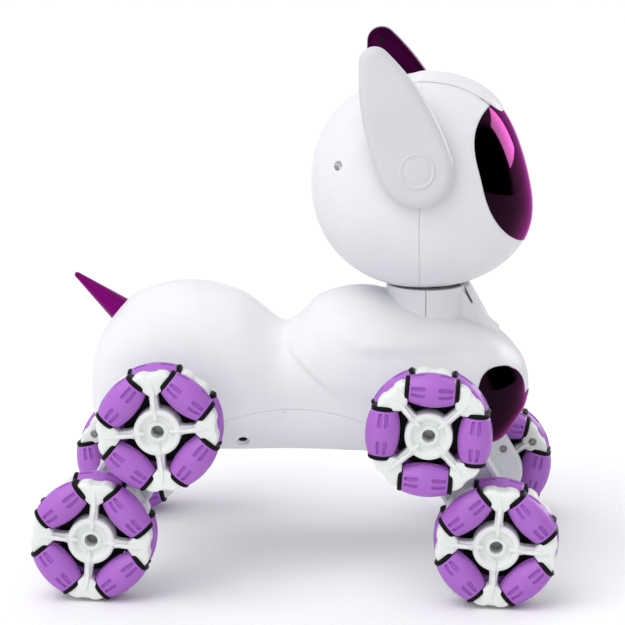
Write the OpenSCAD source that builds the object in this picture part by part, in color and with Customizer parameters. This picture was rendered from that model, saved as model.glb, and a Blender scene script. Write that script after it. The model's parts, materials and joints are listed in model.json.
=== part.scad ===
// Robot dog toy that stands and rolls on eight omni wheels.
// The dog faces +X, its left side is +Y, and the ground is z = 0.
// The origin is on the ground, midway between the four hip axles.
// Sizes are millimetres.

/* [Stance] */
// Distance from the front hip axles to the rear hip axles
hip_spacing = 128; // [126:1:132]
// Distance from a leg's hip axle to its foot axle
leg_length = 63; // [62:1:64]
// Angle of each leg away from the vertical
leg_splay = 31; // [28:1:33]

/* [Wheels] */
// Outer radius of every omni wheel
wheel_r = 30; // [29.5:0.25:30.5]
// Distance from the dog's centre plane to a wheel's middle plane
wheel_y = 75; // [75:0.5:80]
// Distance between a wheel's two rows of rollers
row_pitch = 14; // [14:0.25:15]
// Radius of the circle that the roller pins lie on
roller_pin_r = 21.8; // [21.6:0.1:22]

/* [Body] */
// Height of the flat belly above the ground
belly_z = 62; // [60:1:63]
// Half of the body's width at the hips and shoulders
body_half_w = 43; // [41:0.5:44]
// Wall thickness of the moulded shells
wall = 2.2; // [1.8:0.1:2.6]
// Height of the belly pan's arched seam at its crown
pan_seam_z = 84; // [80:1:86]

/* [Head] */
// Place along the dog of the seam between the face and the back of the head
head_seam_x = 58; // [57:0.5:60]
// Height of the middle of the head
head_z = 191.5; // [190:0.5:194]
// Half of the head's length
head_half_l = 54.4; // [53:0.2:56]
// Half of the head's width
head_half_w = 51.5; // [50:0.5:52]
// Half of the head's height
head_half_h = 52.5; // [51:0.5:54]
// Radius of the neck
neck_r = 20; // [18:0.5:21]
// Place along the dog of the neck's axis
neck_x = 61; // [60:0.5:62]

/* [Ears] */
// Height of the ear pivots
ear_pivot_z = 204.5; // [203:0.5:207]
// Radius of an ear's round lower end
ear_root_r = 17.5; // [16:0.1:19]
// Radius of an ear's tip
ear_tip_r = 7.5; // [6.5:0.5:9]
// Distance from the pivot to the middle of the tip's curve
ear_reach = 55; // [50:1:58]
// Angle of the ears back from the vertical at rest
ear_tilt = 22; // [12:0.5:26]
// Angle that the ears lean in over the head
ear_lean = 8; // [5:0.5:10]

/* [Tail] */
// Length of the tail outside the body
tail_length = 28; // [24:1:32]
// Radius of the tail at the body
tail_root_r = 6.5; // [5.5:0.5:7]
// Angle of the tail above the horizontal
tail_rise = 39; // [30:1:45]

/* [Hidden] */
$fn = 64;
slip = 0.05;
gap = 0.2;

// Legs: name, +1 front or -1 rear, +1 left or -1 right, and how far the hip wheel
// and the foot wheel are turned at rest
LEGS = [
    ["front_right", 1, -1, 41, -4.5],
    ["front_left", 1, 1, 20, -13.4],
    ["rear_right", -1, -1, -6, 6],
    ["rear_left", -1, 1, 30, -11.4]
];
SIDES = [["right", -1], ["left", 1]];

WHITE = "#f1f0f5";
WARM_WHITE = "#e6e8e2";
LILAC = "#b06fd6";
MAGENTA = "#6a0a63";
DARK_GLOSS = "#2a0a26";
LIGHT_GREY = "#d3d3d8";
STEEL = "#9a9aa0";
BLACK = "#1b1b1d";
BOARD_GREEN = "#2c6a46";

hip_x = hip_spacing / 2;
hip_z = wheel_r + leg_length * cos(leg_splay);

// Wheel, in its own frame: the axle is Z, and +Z is the side away from the dog
row_z = row_pitch / 2;
sleeve_half_l = 10.85;
roller_half_l = 13.1;
roller_core_r = 6;
roller_core_end_r = 5.2;
roller_pin_thick_r = 1.5;
roller_pin_half_l = 15.4;
corner_clear = roller_half_l + gap;
corner_r = wheel_r - 1;
corner_half_h = 4.8;
hub_r = 11.9;
hub_inner_z = -13;
hub_outer_z = 11;
hub_cup_r = 8.5;
hub_cup_depth = 4;
hub_ring_r = 5.5;
spoke_w = 4.4;
spoke_half_h = 3;
rib_w = 1.3;
rib_end_r = 24.5;
axle_r = 3.1;

// Leg, in its own frame: the hip axle is Z, which counts outwards from the dog's centre
// plane, and the foot axle is at x = leg_length
arm_r = 14.6;
arm_inner_y = 48;
arm_seam_y = 53;
arm_outer_y = 58;
arm_floor = 2;
arm_bevel = 1.4;
sleeve_r = 9;
sleeve_end_y = 40;
pulley_r = 8;
pulley_y = [50.6, 55.4];
belt_thick = 1.2;
belt_y = [51.2, 54.8];
axle_inner_y = 38;
axle_outer_y = wheel_y + 3;

// Body outline along X: each station is [x, underside, top, half width as a share of the
// full half width]. The underside lies below the belly and is cut flat there.
BODY_STATIONS = [
    [-106.2, 84, 92, 0.10],
    [-104.5, 74, 104, 0.40],
    [-98, 64, 118.5, 0.70],
    [-84, 58, 133, 0.93],
    [-58, 57, 139.6, 1.00],
    [-32, 57, 134, 0.98],
    [-9, 57, 119, 0.90],
    [9, 57, 133, 0.90],
    [30, 57, 138, 0.96],
    [56, 57, 132, 1.00],
    [80, 57, 125, 0.93],
    [97, 63.5, 116.5, 0.74],
    [108, 77, 105, 0.43],
    [111.6, 85.5, 96.5, 0.10]
];
body_mid_z = 86;
body_mid_x = (BODY_STATIONS[0][0] + BODY_STATIONS[len(BODY_STATIONS) - 1][0]) / 2;
body_half_l = BODY_STATIONS[len(BODY_STATIONS) - 1][0] - body_mid_x;
top_fullness = 2.3;
underside_fullness = 3.2;
pan_arc_r = 108;
pan_arc_x = -2;
hip_ring_r = 12.5;
hip_ring_y = [33, 46.5];
door_size = [50, 42];
door_x = -9;
case_screw_places = [for (x = [-58, 51]) for (y = [-20, 20]) [x, y]];
case_screw_head_r = 2.6;
screw_shank_r = 1.2;
switch_x = -45.5;
switch_travel = 3.6;
switch_knob = [5, 4];
switch_cover = [10, 8];
speaker_x = 38;
speaker_r = 11;
neck_base_z = 106;
neck_top_z = head_z - head_half_h - 0.6;
neck_pillar_w = 11;
spigot_r = 8;

// Head outline
head_fullness = 2.15;
face_slant = 3.8;
ear_pivot_x = head_seam_x - 1;
ear_side_r = 120;
ear_pin_r = 5;
ear_pin_y = [40, 54];
ear_collar_y = [43.5, 51];
ear_inner_y = 53.2;
ear_panel_thick = 2;
ear_shell_thick = 4.6;
visor_half = [42.5, 34.2];
visor_z = 198;
visor_fullness = 2.5;
crown_half_w = 16;
crown_end_x = 97;
crown_corner_r = 9;
crown_proud = 1.6;
head_screw_place = [33.4, 203.6];
board_x = 84;

chest_lobe_y = 28;
chest_lobe_z = 85.3;
chest_lobe_inner_w = 14;
chest_lobe_outer_w = 10;
chest_lobe_half_h = 19.3;
chest_lobe_fullness = 2.3;
chest_bridge_z = [66, 87];

tail_root = [-92, 0, 124.6];
tail_tip_r = 1.4;
tail_inside = 3;

// ---- Curves and skins ----

// Curve through the rows of a list, at t counted in rows
function row(v, i) = v[max(0, min(len(v) - 1, i))];
function through(v, t) =
    let (i = min(floor(t), len(v) - 2), u = t - i)
    let (a = row(v, i - 1), b = row(v, i), c = row(v, i + 1), d = row(v, i + 2))
    b + u / 2 * (c - a) + u ^ 2 * (a - 2.5 * b + 2 * c - d / 2)
    + u ^ 3 * (1.5 * (b - c) + (d - a) / 2);

// Sine or cosine with a fuller shoulder than a circle's
function full(s, fullness) = sign(s) * abs(s) ^ (2 / fullness);

// Closed skin over a list of rings that all have the same number of points
module skin(rings) {
    n = len(rings[0]);
    last = len(rings) - 1;
    points = [for (ring = rings) for (p = ring) p];
    sides = [for (i = [0:last - 1]) for (j = [0:n - 1])
        let (k = (j + 1) % n)
        each [
            [i * n + j, (i + 1) * n + j, (i + 1) * n + k],
            [i * n + j, (i + 1) * n + k, i * n + k]
        ]];
    ends = [[for (j = [0:n - 1]) j], [for (j = [n - 1:-1:0]) last * n + j]];
    polyhedron(points, concat(sides, ends));
}

function body_ring(station, grow, around) =
    let (half_w = station[3] * body_half_w + grow)
    let (low = station[1] - grow, high = station[2] + grow)
    [for (j = [0:around - 1])
        let (c = cos(360 * j / around), s = sin(360 * j / around))
        [
            body_mid_x + (station[0] - body_mid_x) * (1 + grow / body_half_l),
            half_w * full(c, s > 0 ? top_fullness : underside_fullness),
            s > 0 ? body_mid_z + (high - body_mid_z) * full(s, top_fullness)
                  : body_mid_z + (body_mid_z - low) * full(s, underside_fullness)
        ]];

// The body's outer form, grown by a distance, with its flat belly
module body_form(grow = 0, steps = 2.5, around = 28) {
    last = (len(BODY_STATIONS) - 1) * steps;
    intersection() {
        skin([for (i = [0:last]) body_ring(through(BODY_STATIONS, i / steps), grow, around)]);
        translate([-150, -60, belly_z - min(grow, 0)])
            cube([300, 120, 120]);
    }
}

function head_ring(up, grow, around) =
    let (z = head_z + (head_half_h + grow) * full(sin(up), head_fullness))
    let (size = full(cos(up), head_fullness))
    let (slant = face_slant * sin(180 * (z - head_z + 6.5) / 55) * min(1, 3 * size))
    [for (j = [0:around - 1])
        let (c = cos(360 * j / around), s = sin(360 * j / around))
        [
            head_seam_x + ((head_half_l + grow) * size - (c > 0 ? slant : 0)) * c,
            (head_half_w + grow) * size * s,
            z
        ]];

// The head's outer form, grown by a distance
module head_form(grow = 0, levels = 18, around = 36) {
    top = 87;
    skin([for (i = [0:levels]) head_ring(-top + 2 * top * i / levels, grow, around)]);
}

// ---- Small helpers ----

module ring(outer_r, inner_r, z0, z1) {
    translate([0, 0, z0]) difference() {
        cylinder(r = outer_r, h = z1 - z0);
        translate([0, 0, -1])
            cylinder(r = inner_r, h = z1 - z0 + 2);
    }
}

module rod(r, z0, z1) {
    translate([0, 0, z0])
        cylinder(r = r, h = z1 - z0);
}

// Outline with round ends of one radius, from the origin to x = length
module slot_outline(r, length) {
    circle(r);
    translate([length, 0])
        circle(r);
    translate([0, -r])
        square([length, 2 * r]);
}

module slot_plate(r, length, z0, z1) {
    translate([0, 0, z0])
        linear_extrude(z1 - z0)
            slot_outline(r, length);
}

function arc_points(centre, r, from, to, steps) =
    [for (i = [0:steps]) let (a = from + (to - from) * i / steps) centre + r * [cos(a), sin(a)]];

// Outline with a round end at the origin, a smaller one at y = length, and long curved sides
module leaf_outline(r1, r2, length, side_r) {
    side_y = ((side_r - r1) ^ 2 - (side_r - r2) ^ 2 + length ^ 2) / (2 * length);
    side_x = sqrt((side_r - r1) ^ 2 - side_y ^ 2);
    low = -atan(side_y / side_x);
    high = atan((length - side_y) / side_x);
    hull() {
        polygon(arc_points([0, 0], r1, 180 - low, 360 + low, 16));
        polygon(arc_points([0, length], r2, high, 180 - high, 10));
        for (side = [-1, 1])
            polygon([for (p = arc_points([-side_x, side_y], side_r, low, high, 6)) [side * p[0], p[1]]]);
    }
}

// Everything here is drawn for the dog's right side and mirrored for the left
module to_side(side) {
    mirror([0, side > 0 ? 1 : 0, 0]) children();
}

// Turns a shape so that its Z points out of the dog's right side and its Y points up
module facing_right() {
    rotate([90, 0, 0]) children();
}

// From a leg's own frame to its place, with the leg's x along the arm
module at_leg(leg) {
    mirror([leg[1] < 0 ? 1 : 0, 0, 0])
        to_side(leg[2])
            translate([hip_x, 0, hip_z])
                facing_right()
                    rotate(leg_splay - 90)
                        children();
}

module at_wheel(leg, foot) {
    at_leg(leg)
        translate([foot ? leg_length : 0, 0, wheel_y])
            rotate(90 - leg_splay + leg[foot ? 4 : 3])
                children();
}

module place_each(places, z) {
    for (p = places)
        translate([p[0], p[1], z]) children();
}

// ---- Omni wheel ----

// One corner that carries the pins of two neighbouring rollers, pointing along +X
module wheel_corner() {
    difference() {
        rotate(-45) linear_extrude(2 * corner_half_h, center = true)
            difference() {
                intersection() {
                    translate([corner_clear, corner_clear])
                        square(wheel_r);
                    circle(corner_r);
                }
                rotate(45) translate([corner_r + 1.2, 0])
                    circle(2.6);
            }
        for (turn = [-45, 45])
            rotate(turn) translate([roller_pin_r, 0, 0]) rotate([turn > 0 ? 90 : -90, 0, 0])
                rod(roller_pin_thick_r + slip, corner_clear - 0.2, roller_pin_half_l + 0.3);
    }
}

// One row of four spokes and corners, with ribs on its outward face
module wheel_row() {
    for (turn = [0:90:270]) rotate(turn) {
        wheel_corner();
        translate([hub_r - 1, -spoke_w / 2, -spoke_half_h])
            cube([corner_clear * sqrt(2) - hub_r + 2, spoke_w, 2 * spoke_half_h]);
        translate([hub_r - 2, -rib_w / 2, 0])
            cube([rib_end_r - hub_r + 2, rib_w, corner_half_h + 0.8]);
    }
}

module wheel_frame() {
    color(WARM_WHITE) difference() {
        union() {
            rod(hub_r, hub_inner_z, hub_outer_z);
            translate([0, 0, row_z])
                wheel_row();
            rotate(45) translate([0, 0, -row_z]) mirror([0, 0, 1])
                wheel_row();
        }
        ring(hub_cup_r, hub_ring_r, hub_outer_z - hub_cup_depth, hub_outer_z + 1);
        rod(hub_ring_r, hub_outer_z - 0.8, hub_outer_z + 1);
        rod(axle_r, hub_inner_z - 1, hub_outer_z + 1);
    }
}

// Barrel roller about Z, with its core's end discs and pins
module roller() {
    arc_steps = 4;
    arc = [for (i = [-arc_steps:arc_steps])
        let (t = sleeve_half_l * i / arc_steps)
        [sqrt(wheel_r ^ 2 - t ^ 2) - roller_pin_r, t]];
    rotate_extrude() polygon(concat(
        [[0, -roller_pin_half_l], [roller_pin_thick_r, -roller_pin_half_l]],
        [[roller_pin_thick_r, -roller_half_l], [roller_core_end_r, -roller_half_l]],
        [[roller_core_r, -sleeve_half_l]],
        arc,
        [[roller_core_r, sleeve_half_l]],
        [[roller_core_end_r, roller_half_l], [roller_pin_thick_r, roller_half_l]],
        [[roller_pin_thick_r, roller_pin_half_l], [0, roller_pin_half_l]]
    ));
}

module rollers() {
    color(LILAC) for (row = [0, 1]) for (turn = [0:90:270])
        rotate(turn + (row == 0 ? 45 : 0))
            translate([roller_pin_r, 0, row == 0 ? row_z : -row_z])
                rotate([90, 0, 0])
                    roller();
}

// Axle with its belt pulley, in the leg's frame about the axle
module axle(inner_y) {
    color(STEEL) {
        rod(axle_r, inner_y, axle_outer_y);
        rod(pulley_r, pulley_y[0], pulley_y[1]);
    }
}

// ---- Leg ----

module arm_shell() {
    color(LIGHT_GREY) difference() {
        union() {
            slot_plate(arm_r, leg_length, arm_seam_y, arm_outer_y - 1);
            slot_plate(arm_r - arm_bevel, leg_length, arm_outer_y - 1, arm_outer_y);
        }
        slot_plate(arm_r - arm_floor, leg_length, arm_seam_y - 1, arm_outer_y - arm_floor);
        for (x = [0, leg_length])
            translate([x, 0, 0])
                rod(axle_r + slip, arm_seam_y - 1, arm_outer_y + 1);
    }
}

module arm_cover() {
    color(LIGHT_GREY) difference() {
        union() {
            slot_plate(arm_r - arm_bevel, leg_length, arm_inner_y, arm_inner_y + 1);
            slot_plate(arm_r, leg_length, arm_inner_y + 1, arm_seam_y);
            rod(sleeve_r, sleeve_end_y, arm_inner_y + 1);
        }
        slot_plate(arm_r - arm_floor, leg_length, arm_inner_y + arm_floor, arm_seam_y + 1);
        rod(axle_r + slip, sleeve_end_y - 1, arm_seam_y);
        translate([leg_length, 0, 0])
            rod(axle_r + slip, arm_inner_y - 1, arm_seam_y);
    }
}

module drive_belt() {
    color(BLACK) difference() {
        slot_plate(pulley_r + slip + belt_thick, leg_length, belt_y[0], belt_y[1]);
        slot_plate(pulley_r + slip, leg_length, belt_y[0] - 1, belt_y[1] + 1);
    }
}

// ---- Body ----

// Everything under the belly pan's arched seam, raised or lowered by a distance
module under_pan_seam(shift = 0) {
    reach = 75;
    arc_steps = 20;
    arc = [for (i = [-arc_steps:arc_steps])
        let (x = reach * i / arc_steps)
        [pan_arc_x + x, pan_seam_z - pan_arc_r + sqrt(pan_arc_r ^ 2 - x ^ 2) + shift]];
    rotate([90, 0, 0]) linear_extrude(120, center = true)
        polygon(concat([[pan_arc_x - reach, 40]], arc, [[pan_arc_x + reach, 40]]));
}

// Chest plate's two round lobes, joined by a straight bridge below the chest's white tongue
module chest_outline(grow = 0) {
    for (side = [-1, 1])
        polygon([for (a = [0:10:350])
            let (half_w = (cos(a) > 0 ? chest_lobe_outer_w : chest_lobe_inner_w) + grow)
            [
                side * (chest_lobe_y + half_w * full(cos(a), chest_lobe_fullness)),
                chest_lobe_z + (chest_lobe_half_h + grow) * full(sin(a), chest_lobe_fullness)
            ]]);
    translate([-chest_lobe_y, chest_bridge_z[0] - grow])
        square([2 * chest_lobe_y, chest_bridge_z[1] - chest_bridge_z[0] + 2 * grow]);
}

// Prism that runs along X through an outline drawn in Y and Z
module along_x(x0, x1) {
    translate([x0, 0, 0]) rotate([90, 0, 90])
        linear_extrude(x1 - x0)
            children();
}

module tail_cone(grow = 0) {
    slope = (tail_root_r - tail_tip_r) / tail_length;
    translate(tail_root) rotate([0, tail_rise - 90, 0])
        translate([0, 0, -tail_inside])
            cylinder(
                r1 = tail_root_r + slope * tail_inside + grow,
                r2 = tail_tip_r + grow,
                h = tail_length + tail_inside
            );
}

module body_shell(side) {
    color(WHITE) to_side(side) difference() {
        union() {
            difference() {
                intersection() {
                    body_form();
                    translate([-150, -60, 40])
                        cube([300, 60, 140]);
                }
                body_form(-wall, 1.5, 20);
                under_pan_seam();
                along_x(85, 130)
                    chest_outline(gap);
            }
            for (x = [-hip_x, hip_x])
                translate([x, 0, hip_z]) facing_right()
                    rod(hip_ring_r, hip_ring_y[0], hip_ring_y[1]);
        }
        for (x = [-hip_x, hip_x])
            translate([x, 0, hip_z]) facing_right()
                rod(sleeve_r + slip, hip_ring_y[0] - 1, hip_ring_y[1] + 1);
        translate([neck_x, 0, 0])
            rod(neck_r + gap, 100, 150);
        neck_pillar(gap);
        tail_cone(0.02);
    }
}

module belly_pan() {
    post_top = 67;
    color(WHITE) difference() {
        union() {
            intersection() {
                difference() {
                    body_form();
                    body_form(-wall, 1.5, 20);
                }
                under_pan_seam(-gap);
            }
            place_each(case_screw_places, belly_z + 1)
                cylinder(r = case_screw_head_r + 1.6, h = post_top - belly_z - 1);
        }
        translate([door_x, 0, belly_z])
            cube([door_size[0] + 2 * gap, door_size[1] + 2 * gap, 3 * wall], center = true);
        translate([switch_x + switch_travel / 2, 0, belly_z])
            cube([switch_knob[0] + switch_travel + 0.6, switch_knob[1] + 0.6, 3 * wall], center = true);
        place_each(case_screw_places, belly_z - 1) {
            cylinder(r = case_screw_head_r + gap, h = 3.5);
            cylinder(r = screw_shank_r, h = 10);
        }
        for (x = [-6:4:6]) for (y = [-6:4:6])
            translate([speaker_x + x, y, belly_z - 1])
                cylinder(r = 0.9, h = 5);
    }
}

module battery_door() {
    grip_w = 12;
    color(WHITE) difference() {
        translate([door_x - door_size[0] / 2, -door_size[1] / 2, belly_z + 0.3])
            cube([door_size[0], door_size[1], wall - 0.3]);
        for (x = [0:2:6])
            translate([door_x + 14 + x, -grip_w / 2, belly_z])
                cube([0.9, grip_w, 0.9]);
    }
}

module battery_pack() {
    cell_r = 9;
    color("#3d6ea8") for (y = [-1, 0, 1])
        translate([door_x - 27, y * 2 * cell_r * 0.98, belly_z + wall + cell_r])
            rotate([0, 90, 0])
                cylinder(r = cell_r, h = 51);
}

module control_board() {
    board = [60, 44, 1.6];
    board_z = 92;
    color(BOARD_GREEN) {
        translate([door_x, 0, board_z])
            cube(board, center = true);
        for (x = [-22, 20]) for (y = [-17.6, 17.6])
            translate([door_x + x, y, belly_z + wall + 18])
                cylinder(r = 1.6, h = board_z - belly_z - wall - 18);
        translate([door_x + 8, 0, board_z + 1])
            cube([14, 14, 3], center = true);
        translate([door_x - 16, 10, board_z])
            cylinder(r = 4, h = 9);
    }
}

module drive_motors() {
    gearbox = [20, 20, 16];
    color(STEEL) for (side = [-1, 1]) for (x = [-hip_x, hip_x])
        to_side(side) translate([x, 0, hip_z]) facing_right() {
            translate([0, 0, hip_ring_y[0] - gearbox[2] / 2])
                cube(gearbox, center = true);
            rod(8, 3, hip_ring_y[0] - gearbox[2] + 1);
            rod(5, hip_ring_y[0] - 1, axle_inner_y - 0.3);
        }
}

module speaker() {
    color(BLACK) translate([speaker_x, 0, belly_z + wall]) {
        cylinder(r = speaker_r, h = 2);
        cylinder(r = speaker_r - 4, h = 6);
    }
}

module power_switch() {
    color(BLACK) {
        translate([switch_x - switch_knob[0] / 2, -switch_knob[1] / 2, belly_z - 0.6])
            cube([switch_knob[0], switch_knob[1], wall + 2]);
        translate([switch_x - switch_cover[0] / 2, -switch_cover[1] / 2, belly_z + wall + 0.3])
            cube([switch_cover[0], switch_cover[1], 1.2]);
    }
}

module case_screws() {
    color(STEEL) place_each(case_screw_places, belly_z + 1) {
        cylinder(r = case_screw_head_r, h = 1.5);
        cylinder(r = screw_shank_r, h = 4.8);
    }
}

module chest_plate() {
    color(DARK_GLOSS) intersection() {
        difference() {
            body_form(0.5);
            body_form(-wall + 0.4, 1.5, 20);
        }
        along_x(85, 130)
            chest_outline();
    }
}

module tail() {
    color(MAGENTA) {
        tail_cone();
        translate(tail_root) rotate([0, tail_rise - 90, 0]) translate([0, 0, tail_length])
            sphere(r = tail_tip_r);
    }
}

// Sloping pillar that runs from the front of the neck down to the chest
module neck_pillar(grow = 0) {
    foot_z = 112;
    translate([neck_x, 0, 0]) rotate([90, 0, 0])
        linear_extrude(neck_pillar_w + 2 * grow, center = true)
            polygon([
                [neck_r - 4, foot_z - grow],
                [neck_r + 12 + grow, foot_z - grow],
                [neck_r + 12 + grow, foot_z + 8],
                [neck_r + 1.5 + grow, neck_top_z],
                [neck_r - 4, neck_top_z]
            ]);
}

module neck() {
    flange_h = 3;
    color(WHITE) neck_pillar();
    color(WHITE) translate([neck_x, 0, 0]) {
        difference() {
            union() {
                rod(neck_r, neck_base_z, neck_top_z);
                rod(neck_r + 3, neck_base_z, neck_base_z + flange_h);
            }
            rod(neck_r - wall, neck_base_z - 1, neck_top_z - wall);
        }
        rod(spigot_r, neck_top_z - 1, neck_top_z + 13);
    }
}

// ---- Head ----

module visor_outline(grow = 0) {
    polygon([for (a = [0:7.5:352.5])
        [
            (visor_half[0] + grow) * full(cos(a), visor_fullness),
            visor_z + (visor_half[1] + grow) * full(sin(a), visor_fullness)
        ]]);
}

// Hollow head with its ear bearings, neck opening and visor window, before it is split
module head_case() {
    difference() {
        union() {
            difference() {
                head_form();
                head_form(-wall, 12, 24);
            }
            translate([ear_pivot_x, 0, ear_pivot_z]) for (side = [-1, 1]) to_side(side)
                facing_right()
                    rod(ear_pin_r + 3.5, ear_collar_y[0], ear_collar_y[1]);
        }
        along_x(head_seam_x + 4, head_seam_x + 70)
            visor_outline(gap);
        translate([ear_pivot_x, 0, ear_pivot_z]) for (side = [-1, 1]) to_side(side)
            facing_right()
                rod(ear_pin_r + slip, ear_collar_y[0] - 1, ear_collar_y[1] + 2);
        translate([neck_x, 0, 0])
            rod(spigot_r + 2, 130, 160);
    }
}

module head_front() {
    foot_z = 161;
    color(WHITE) {
        intersection() {
            head_case();
            translate([head_seam_x, -100, 100])
                cube([100, 200, 200]);
        }
        for (y = [-22, 22])
            translate([board_x + 2, y, foot_z]) rotate([0, 90, 0])
                cylinder(r = 2.2, h = 13);
    }
}

module head_rear() {
    color(WHITE) difference() {
        union() {
            intersection() {
                head_case();
                translate([head_seam_x - 100, -100, 100])
                    cube([100, 200, 200]);
            }
            for (y = [-1, 1])
                translate([24, y * head_screw_place[0], head_screw_place[1]]) rotate([0, 90, 0])
                    cylinder(r = 4, h = head_seam_x - 24);
        }
        for (y = [-1, 1])
            translate([0, y * head_screw_place[0], head_screw_place[1]]) rotate([0, 90, 0]) {
                cylinder(r = 2.5, h = 30);
                cylinder(r = screw_shank_r, h = head_seam_x + 1);
            }
    }
}

module head_screws() {
    color(STEEL) for (y = [-1, 1])
        translate([28, y * head_screw_place[0], head_screw_place[1]]) rotate([0, 90, 0]) {
            cylinder(r = 2.4, h = 2);
            cylinder(r = screw_shank_r, h = 26);
        }
}

module turn_ring() {
    color(BLACK) translate([neck_x, 0, 0]) difference() {
        union() {
            rod(spigot_r + 1.9, neck_top_z + 1, neck_top_z + 11);
            rod(spigot_r + 8, neck_top_z + 5.4, neck_top_z + 8);
        }
        rod(spigot_r + slip, neck_top_z, neck_top_z + 12);
    }
}

module crown_strip() {
    color(WHITE) intersection() {
        difference() {
            head_form(crown_proud);
            head_form(0.45, 18, 36);
        }
        translate([0, 0, head_z]) linear_extrude(80) hull() {
            translate([head_seam_x, -crown_half_w])
                square([1, 2 * crown_half_w]);
            for (side = [-1, 1])
                translate([crown_end_x - crown_corner_r, side * (crown_half_w - crown_corner_r)])
                    circle(crown_corner_r);
        }
    }
}

module visor() {
    color(DARK_GLOSS) intersection() {
        difference() {
            head_form(0.4);
            head_form(-wall + 0.3, 12, 24);
        }
        along_x(head_seam_x + 5, head_seam_x + 70)
            visor_outline();
    }
}

module light_board() {
    color(BOARD_GREEN) translate([board_x, 0, 0]) {
        translate([0, -26, 157])
            cube([2, 52, 56]);
        for (side = [-1, 1]) for (z = [194:5:204]) for (y = [9:5:19])
            translate([1, side * y, z]) rotate([0, 90, 0])
                cylinder(r = 1.7, h = 3);
    }
}

// ---- Ears ----

module at_ear(side) {
    to_side(side) translate([ear_pivot_x, 0, ear_pivot_z])
        facing_right()
            children();
}

// Leaf-shaped plate in the ear's lean, between two distances from the inner face
module ear_leaf(shrink, z0, z1) {
    translate([0, 0, ear_inner_y]) rotate([-ear_lean, 0, 0]) rotate(ear_tilt)
        translate([0, 0, z0]) linear_extrude(z1 - z0)
            leaf_outline(ear_root_r - shrink, ear_tip_r - shrink, ear_reach, ear_side_r - shrink);
}

module ear_shell(side) {
    color(WHITE) at_ear(side) {
        ear_leaf(0, ear_panel_thick, ear_panel_thick + ear_shell_thick - 1.5);
        ear_leaf(1.6, ear_panel_thick + 1, ear_panel_thick + ear_shell_thick);
        rod(ear_pin_r, ear_pin_y[0], ear_pin_y[1] + 3);
        rod(ear_pin_r + 2, ear_pin_y[0], ear_pin_y[0] + 2);
    }
}

module ear_panel(side) {
    color(MAGENTA) at_ear(side) difference() {
        ear_leaf(0.3, 0, ear_panel_thick);
        rod(ear_pin_r + 0.01, ear_pin_y[0], ear_pin_y[1] + 10);
        translate([0, 0, ear_inner_y]) rotate([-ear_lean, 0, 0]) rotate(ear_tilt)
            translate([0, ear_reach, -1])
                cylinder(r = 2, h = ear_panel_thick + 2);
    }
}

// ---- The whole toy ----

for (leg = LEGS) {
    at_leg(leg) arm_shell();
    at_leg(leg) arm_cover();
    at_leg(leg) drive_belt();
    at_leg(leg) axle(axle_inner_y);
    at_leg(leg) translate([leg_length, 0, 0]) axle(arm_inner_y + 0.4);
    at_wheel(leg, false) wheel_frame();
    at_wheel(leg, true) wheel_frame();
    at_wheel(leg, false) rollers();
    at_wheel(leg, true) rollers();
}
for (side = SIDES) {
    body_shell(side[1]);
    ear_shell(side[1]);
    ear_panel(side[1]);
}
belly_pan();
battery_door();
battery_pack();
control_board();
drive_motors();
speaker();
power_switch();
case_screws();
chest_plate();
tail();
neck();
head_front();
head_rear();
head_screws();
turn_ring();
crown_strip();
visor();
light_board();
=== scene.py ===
"""Looks of the robot dog toy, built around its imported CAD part.

Shapes are worked out in millimetres, in the part's own frame: +X towards the face, +Y to the
dog's left, +Z up, with the origin on the ground. They become metres when a piece is made.
"""

import json
import math

import bmesh
import bpy
import numpy as np
from mathutils import Matrix, Vector


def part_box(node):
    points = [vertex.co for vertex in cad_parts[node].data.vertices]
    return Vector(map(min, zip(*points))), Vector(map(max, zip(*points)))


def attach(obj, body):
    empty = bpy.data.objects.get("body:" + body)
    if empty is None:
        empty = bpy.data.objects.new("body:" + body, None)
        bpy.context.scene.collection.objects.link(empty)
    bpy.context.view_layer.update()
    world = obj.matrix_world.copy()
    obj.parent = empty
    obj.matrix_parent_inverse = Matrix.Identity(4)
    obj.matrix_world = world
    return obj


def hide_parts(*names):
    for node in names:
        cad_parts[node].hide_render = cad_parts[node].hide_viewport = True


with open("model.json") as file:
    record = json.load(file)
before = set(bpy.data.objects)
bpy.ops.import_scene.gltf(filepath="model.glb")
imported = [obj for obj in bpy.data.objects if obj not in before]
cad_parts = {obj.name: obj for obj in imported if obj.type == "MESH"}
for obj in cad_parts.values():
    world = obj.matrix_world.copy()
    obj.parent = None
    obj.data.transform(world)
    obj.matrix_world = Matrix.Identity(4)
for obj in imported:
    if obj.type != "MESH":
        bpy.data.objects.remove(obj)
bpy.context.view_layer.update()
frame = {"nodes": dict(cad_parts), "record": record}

MM = 0.001
SIDES = {"right": -1, "left": 1}
# Legs: +1 front or -1 rear, +1 left or -1 right, and how far the hip and foot wheels are turned
LEGS = {
    "front_right": (1, -1, 41, -4.5),
    "front_left": (1, 1, 20, -13.4),
    "rear_right": (-1, -1, -6, 6),
    "rear_left": (-1, 1, 30, -11.4),
}


def box_mm(node):
    low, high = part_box(node)
    return np.array(low) / MM, np.array(high) / MM


# ---------------------------------------------------------------- materials

def new_material(name, colour, roughness, sockets):
    """A Principled material with constant values on the shader's own sockets."""
    material = bpy.data.materials.new(name)
    material.use_nodes = True
    shader = material.node_tree.nodes["Principled BSDF"]
    shader.inputs["Base Color"].default_value = (*colour, 1)
    shader.inputs["Roughness"].default_value = roughness
    for socket, value in sockets.items():
        shader.inputs[socket].default_value = value
    return material, material.node_tree, shader


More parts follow.
